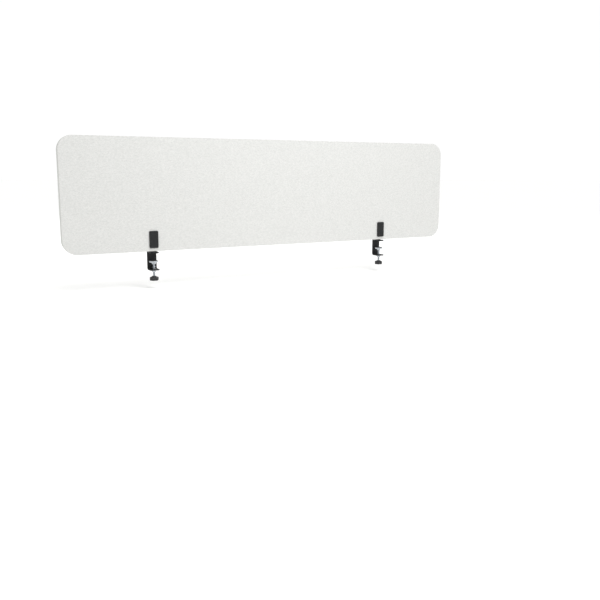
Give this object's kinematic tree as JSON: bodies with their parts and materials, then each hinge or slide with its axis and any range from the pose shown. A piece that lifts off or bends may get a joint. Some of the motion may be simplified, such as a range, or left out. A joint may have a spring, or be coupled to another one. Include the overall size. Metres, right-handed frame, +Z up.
{
  "type": "desk privacy panel",
  "caption": "Low wide felt desk screen with rounded corners, held on the rear edge of a desktop by screw clamps with dark metal plates.",
  "frame": {"origin": "on the desktop's upper surface at its rear edge, half way along the panel", "axes": "+X along the panel to the right as the desk's user sees it, +Y away from the user, +Z up"},
  "size_m": [1.59, 0.0436, 0.4996],
  "materials": {
    "felt": "matte",
    "powder_coat": "matte",
    "zinc": "satin",
    "black_oxide": "satin",
    "rubber": "matte",
    "knob_plastic": "matte"
  },
  "bodies": {
    "screen": {"front_felt_board": "felt", "rear_felt_board": "felt", "left_front_plate": "powder_coat", "left_upper_standoff": "zinc", "left_lower_standoff": "zinc", "left_upper_screw": "black_oxide", "left_lower_screw": "black_oxide", "left_jaw_plate": "powder_coat", "left_rear_bracket": "powder_coat", "left_jaw_pad": "rubber", "left_clamp_nut": "zinc", "right_front_plate": "powder_coat", "right_upper_standoff": "zinc", "right_lower_standoff": "zinc", "right_upper_screw": "black_oxide", "right_lower_screw": "black_oxide", "right_jaw_plate": "powder_coat", "right_rear_bracket": "powder_coat", "right_jaw_pad": "rubber", "right_clamp_nut": "zinc"},
    "left_foot": {"left_pressure_foot": "zinc", "left_foot_pad": "rubber"},
    "left_clamp_screw": {"left_spindle": "zinc", "left_retaining_ring": "zinc", "left_knob": "knob_plastic"},
    "right_foot": {"right_pressure_foot": "zinc", "right_foot_pad": "rubber"},
    "right_clamp_screw": {"right_spindle": "zinc", "right_retaining_ring": "zinc", "right_knob": "knob_plastic"}
  },
  "joints": [
    {"name": "left_foot_travel", "type": "slide", "parent": "screen", "child": "left_foot", "axis": [0, 0, 1], "range_m": [-0.017, 0.013]},
    {"name": "left_screw_turn", "type": "hinge", "parent": "left_foot", "child": "left_clamp_screw", "pos_m": [-0.484, -0.016, -0.06], "axis": [0, 0, 1], "range_deg": [-4900, 3750]},
    {"name": "right_foot_travel", "type": "slide", "parent": "screen", "child": "right_foot", "axis": [0, 0, 1], "range_m": [-0.017, 0.013]},
    {"name": "right_screw_turn", "type": "hinge", "parent": "right_foot", "child": "right_clamp_screw", "pos_m": [0.484, -0.016, -0.06], "axis": [0, 0, 1], "range_deg": [-4900, 3750]}
  ],
  "couplings": [
    {"joint": "left_screw_turn", "follows": "left_foot_travel", "rad_per_m": 5026.5},
    {"joint": "right_screw_turn", "follows": "right_foot_travel", "rad_per_m": 5026.5}
  ]
}
